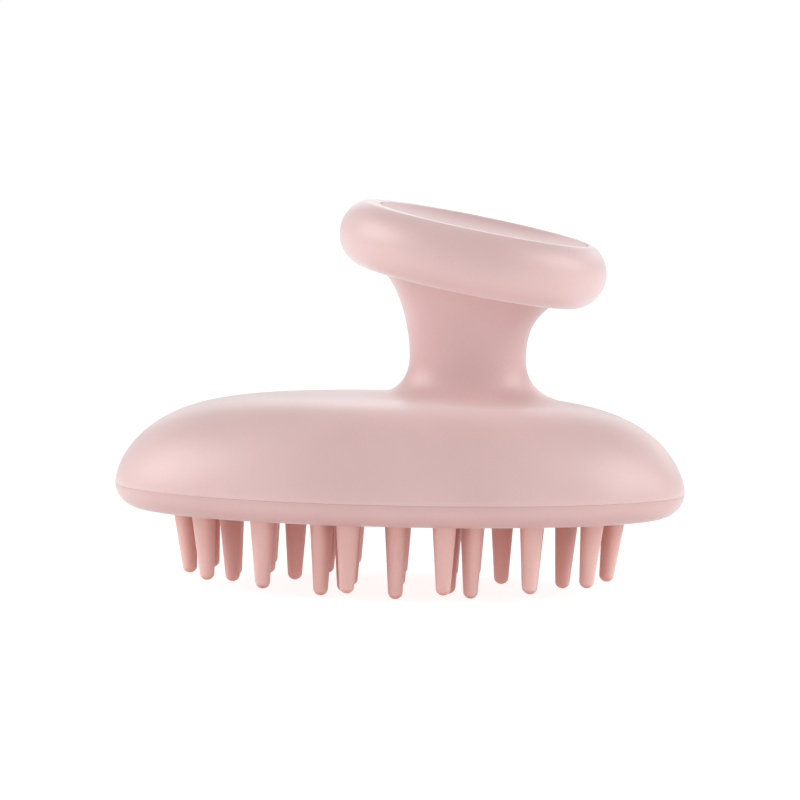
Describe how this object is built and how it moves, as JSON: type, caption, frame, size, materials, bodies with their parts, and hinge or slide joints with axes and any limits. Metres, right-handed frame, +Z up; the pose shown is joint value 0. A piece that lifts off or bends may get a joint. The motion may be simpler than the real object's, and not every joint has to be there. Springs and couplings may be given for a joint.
{
  "type": "scalp massager brush",
  "caption": "Hand-held scalp massage brush: an oval dome with an offset flared neck, a tilted dished pebble grip, and a pad of tapered soft bristles that bend.",
  "frame": {"origin": "under the middle of the oval body, at the height of the bristle tips", "axes": "+X along the body towards the end where the neck stands, +Y across it, +Z up out of the grip"},
  "size_m": [0.096, 0.062, 0.0652],
  "materials": {
    "soft_touch": "soft-touch matt pale pink",
    "silicone": "matt silicone, pink, slightly translucent",
    "plate_plastic": "plain moulded",
    "steel": "plain stainless"
  },
  "bodies": {
    "brush_body": {"dome_shell": "soft_touch", "grip_shell": "soft_touch", "grip_cap": "soft_touch", "base_ring": "soft_touch", "bristle_pad": "silicone", "backing_plate": "plate_plastic", "neck_screw_1": "steel", "neck_screw_2": "steel", "plate_screw_1": "steel", "plate_screw_2": "steel", "plate_screw_3": "steel", "plate_screw_4": "steel"},
    "bristle_01": {"bristle_01": "silicone"},
    "bristle_02": {"bristle_02": "silicone"},
    "bristle_03": {"bristle_03": "silicone"},
    "bristle_04": {"bristle_04": "silicone"},
    "bristle_05": {"bristle_05": "silicone"},
    "bristle_06": {"bristle_06": "silicone"},
    "bristle_07": {"bristle_07": "silicone"},
    "bristle_08": {"bristle_08": "silicone"},
    "bristle_09": {"bristle_09": "silicone"},
    "bristle_10": {"bristle_10": "silicone"},
    "bristle_11": {"bristle_11": "silicone"},
    "bristle_12": {"bristle_12": "silicone"},
    "bristle_13": {"bristle_13": "silicone"},
    "bristle_14": {"bristle_14": "silicone"},
    "bristle_15": {"bristle_15": "silicone"},
    "bristle_16": {"bristle_16": "silicone"},
    "bristle_17": {"bristle_17": "silicone"},
    "bristle_18": {"bristle_18": "silicone"},
    "bristle_19": {"bristle_19": "silicone"},
    "bristle_20": {"bristle_20": "silicone"},
    "bristle_21": {"bristle_21": "silicone"},
    "bristle_22": {"bristle_22": "silicone"},
    "bristle_23": {"bristle_23": "silicone"},
    "bristle_24": {"bristle_24": "silicone"},
    "bristle_25": {"bristle_25": "silicone"},
    "bristle_26": {"bristle_26": "silicone"},
    "bristle_27": {"bristle_27": "silicone"},
    "bristle_28": {"bristle_28": "silicone"},
    "bristle_29": {"bristle_29": "silicone"},
    "bristle_30": {"bristle_30": "silicone"},
    "bristle_31": {"bristle_31": "silicone"},
    "bristle_32": {"bristle_32": "silicone"},
    "bristle_33": {"bristle_33": "silicone"},
    "bristle_34": {"bristle_34": "silicone"},
    "bristle_35": {"bristle_35": "silicone"},
    "bristle_36": {"bristle_36": "silicone"},
    "bristle_37": {"bristle_37": "silicone"}
  },
  "joints": [
    {"name": "bristle_01_bend", "type": "hinge", "parent": "brush_body", "child": "bristle_01", "pos_m": [0.036, 0, 0.0111], "axis": [0, 1, 0], "range_deg": [-25, 25], "stiffness_Nm_per_rad": 0.0025},
    {"name": "bristle_02_bend", "type": "hinge", "parent": "brush_body", "child": "bristle_02", "pos_m": [0.03243, 0.0102, 0.0111], "axis": [0, 1, 0], "range_deg": [-25, 25], "stiffness_Nm_per_rad": 0.0025},
    {"name": "bristle_03_bend", "type": "hinge", "parent": "brush_body", "child": "bristle_03", "pos_m": [0.02245, 0.01837, 0.0111], "axis": [0, 1, 0], "range_deg": [-25, 25], "stiffness_Nm_per_rad": 0.0025},
    {"name": "bristle_04_bend", "type": "hinge", "parent": "brush_body", "child": "bristle_04", "pos_m": [0.00801, 0.02291, 0.0111], "axis": [0, 1, 0], "range_deg": [-25, 25], "stiffness_Nm_per_rad": 0.0025},
    {"name": "bristle_05_bend", "type": "hinge", "parent": "brush_body", "child": "bristle_05", "pos_m": [-0.00801, 0.02291, 0.0111], "axis": [0, 1, 0], "range_deg": [-25, 25], "stiffness_Nm_per_rad": 0.0025},
    {"name": "bristle_06_bend", "type": "hinge", "parent": "brush_body", "child": "bristle_06", "pos_m": [-0.02245, 0.01837, 0.0111], "axis": [0, 1, 0], "range_deg": [-25, 25], "stiffness_Nm_per_rad": 0.0025},
    {"name": "bristle_07_bend", "type": "hinge", "parent": "brush_body", "child": "bristle_07", "pos_m": [-0.03243, 0.0102, 0.0111], "axis": [0, 1, 0], "range_deg": [-25, 25], "stiffness_Nm_per_rad": 0.0025},
    {"name": "bristle_08_bend", "type": "hinge", "parent": "brush_body", "child": "bristle_08", "pos_m": [-0.036, 0, 0.0111], "axis": [0, 1, 0], "range_deg": [-25, 25], "stiffness_Nm_per_rad": 0.0025},
    {"name": "bristle_09_bend", "type": "hinge", "parent": "brush_body", "child": "bristle_09", "pos_m": [-0.03243, -0.0102, 0.0111], "axis": [0, 1, 0], "range_deg": [-25, 25], "stiffness_Nm_per_rad": 0.0025},
    {"name": "bristle_10_bend", "type": "hinge", "parent": "brush_body", "child": "bristle_10", "pos_m": [-0.02245, -0.01837, 0.0111], "axis": [0, 1, 0], "range_deg": [-25, 25], "stiffness_Nm_per_rad": 0.0025},
    {"name": "bristle_11_bend", "type": "hinge", "parent": "brush_body", "child": "bristle_11", "pos_m": [-0.00801, -0.02291, 0.0111], "axis": [0, 1, 0], "range_deg": [-25, 25], "stiffness_Nm_per_rad": 0.0025},
    {"name": "bristle_12_bend", "type": "hinge", "parent": "brush_body", "child": "bristle_12", "pos_m": [0.00801, -0.02291, 0.0111], "axis": [0, 1, 0], "range_deg": [-25, 25], "stiffness_Nm_per_rad": 0.0025},
    {"name": "bristle_13_bend", "type": "hinge", "parent": "brush_body", "child": "bristle_13", "pos_m": [0.02245, -0.01837, 0.0111], "axis": [0, 1, 0], "range_deg": [-25, 25], "stiffness_Nm_per_rad": 0.0025},
    {"name": "bristle_14_bend", "type": "hinge", "parent": "brush_body", "child": "bristle_14", "pos_m": [0.03243, -0.0102, 0.0111], "axis": [0, 1, 0], "range_deg": [-25, 25], "stiffness_Nm_per_rad": 0.0025},
    {"name": "bristle_15_bend", "type": "hinge", "parent": "brush_body", "child": "bristle_15", "pos_m": [0.02817, 0.00441, 0.0111], "axis": [0, 1, 0], "range_deg": [-25, 25], "stiffness_Nm_per_rad": 0.0025},
    {"name": "bristle_16_bend", "type": "hinge", "parent": "brush_body", "child": "bristle_16", "pos_m": [0.0226, 0.01235, 0.0111], "axis": [0, 1, 0], "range_deg": [-25, 25], "stiffness_Nm_per_rad": 0.0025},
    {"name": "bristle_17_bend", "type": "hinge", "parent": "brush_body", "child": "bristle_17", "pos_m": [0.01254, 0.01784, 0.0111], "axis": [0, 1, 0], "range_deg": [-25, 25], "stiffness_Nm_per_rad": 0.0025},
    {"name": "bristle_18_bend", "type": "hinge", "parent": "brush_body", "child": "bristle_18", "pos_m": [0, 0.0198, 0.0111], "axis": [0, 1, 0], "range_deg": [-25, 25], "stiffness_Nm_per_rad": 0.0025},
    {"name": "bristle_19_bend", "type": "hinge", "parent": "brush_body", "child": "bristle_19", "pos_m": [-0.01254, 0.01784, 0.0111], "axis": [0, 1, 0], "range_deg": [-25, 25], "stiffness_Nm_per_rad": 0.0025},
    {"name": "bristle_20_bend", "type": "hinge", "parent": "brush_body", "child": "bristle_20", "pos_m": [-0.0226, 0.01235, 0.0111], "axis": [0, 1, 0], "range_deg": [-25, 25], "stiffness_Nm_per_rad": 0.0025},
    {"name": "bristle_21_bend", "type": "hinge", "parent": "brush_body", "child": "bristle_21", "pos_m": [-0.02817, 0.00441, 0.0111], "axis": [0, 1, 0], "range_deg": [-25, 25], "stiffness_Nm_per_rad": 0.0025},
    {"name": "bristle_22_bend", "type": "hinge", "parent": "brush_body", "child": "bristle_22", "pos_m": [-0.02817, -0.00441, 0.0111], "axis": [0, 1, 0], "range_deg": [-25, 25], "stiffness_Nm_per_rad": 0.0025},
    {"name": "bristle_23_bend", "type": "hinge", "parent": "brush_body", "child": "bristle_23", "pos_m": [-0.0226, -0.01235, 0.0111], "axis": [0, 1, 0], "range_deg": [-25, 25], "stiffness_Nm_per_rad": 0.0025},
    {"name": "bristle_24_bend", "type": "hinge", "parent": "brush_body", "child": "bristle_24", "pos_m": [-0.01254, -0.01784, 0.0111], "axis": [0, 1, 0], "range_deg": [-25, 25], "stiffness_Nm_per_rad": 0.0025},
    {"name": "bristle_25_bend", "type": "hinge", "parent": "brush_body", "child": "bristle_25", "pos_m": [0, -0.0198, 0.0111], "axis": [0, 1, 0], "range_deg": [-25, 25], "stiffness_Nm_per_rad": 0.0025},
    {"name": "bristle_26_bend", "type": "hinge", "parent": "brush_body", "child": "bristle_26", "pos_m": [0.01254, -0.01784, 0.0111], "axis": [0, 1, 0], "range_deg": [-25, 25], "stiffness_Nm_per_rad": 0.0025},
    {"name": "bristle_27_bend", "type": "hinge", "parent": "brush_body", "child": "bristle_27", "pos_m": [0.0226, -0.01235, 0.0111], "axis": [0, 1, 0], "range_deg": [-25, 25], "stiffness_Nm_per_rad": 0.0025},
    {"name": "bristle_28_bend", "type": "hinge", "parent": "brush_body", "child": "bristle_28", "pos_m": [0.02817, -0.00441, 0.0111], "axis": [0, 1, 0], "range_deg": [-25, 25], "stiffness_Nm_per_rad": 0.0025},
    {"name": "bristle_29_bend", "type": "hinge", "parent": "brush_body", "child": "bristle_29", "pos_m": [0.0174, 0, 0.0111], "axis": [0, 1, 0], "range_deg": [-25, 25], "stiffness_Nm_per_rad": 0.0025},
    {"name": "bristle_30_bend", "type": "hinge", "parent": "brush_body", "child": "bristle_30", "pos_m": [0.0087, 0.01351, 0.0111], "axis": [0, 1, 0], "range_deg": [-25, 25], "stiffness_Nm_per_rad": 0.0025},
    {"name": "bristle_31_bend", "type": "hinge", "parent": "brush_body", "child": "bristle_31", "pos_m": [-0.0087, 0.01351, 0.0111], "axis": [0, 1, 0], "range_deg": [-25, 25], "stiffness_Nm_per_rad": 0.0025},
    {"name": "bristle_32_bend", "type": "hinge", "parent": "brush_body", "child": "bristle_32", "pos_m": [-0.0174, 0, 0.0111], "axis": [0, 1, 0], "range_deg": [-25, 25], "stiffness_Nm_per_rad": 0.0025},
    {"name": "bristle_33_bend", "type": "hinge", "parent": "brush_body", "child": "bristle_33", "pos_m": [-0.0087, -0.01351, 0.0111], "axis": [0, 1, 0], "range_deg": [-25, 25], "stiffness_Nm_per_rad": 0.0025},
    {"name": "bristle_34_bend", "type": "hinge", "parent": "brush_body", "child": "bristle_34", "pos_m": [0.0087, -0.01351, 0.0111], "axis": [0, 1, 0], "range_deg": [-25, 25], "stiffness_Nm_per_rad": 0.0025},
    {"name": "bristle_35_bend", "type": "hinge", "parent": "brush_body", "child": "bristle_35", "pos_m": [-0.008, 0, 0.0111], "axis": [0, 1, 0], "range_deg": [-25, 25], "stiffness_Nm_per_rad": 0.0025},
    {"name": "bristle_36_bend", "type": "hinge", "parent": "brush_body", "child": "bristle_36", "pos_m": [0, 0, 0.0111], "axis": [0, 1, 0], "range_deg": [-25, 25], "stiffness_Nm_per_rad": 0.0025},
    {"name": "bristle_37_bend", "type": "hinge", "parent": "brush_body", "child": "bristle_37", "pos_m": [0.008, 0, 0.0111], "axis": [0, 1, 0], "range_deg": [-25, 25], "stiffness_Nm_per_rad": 0.0025}
  ]
}
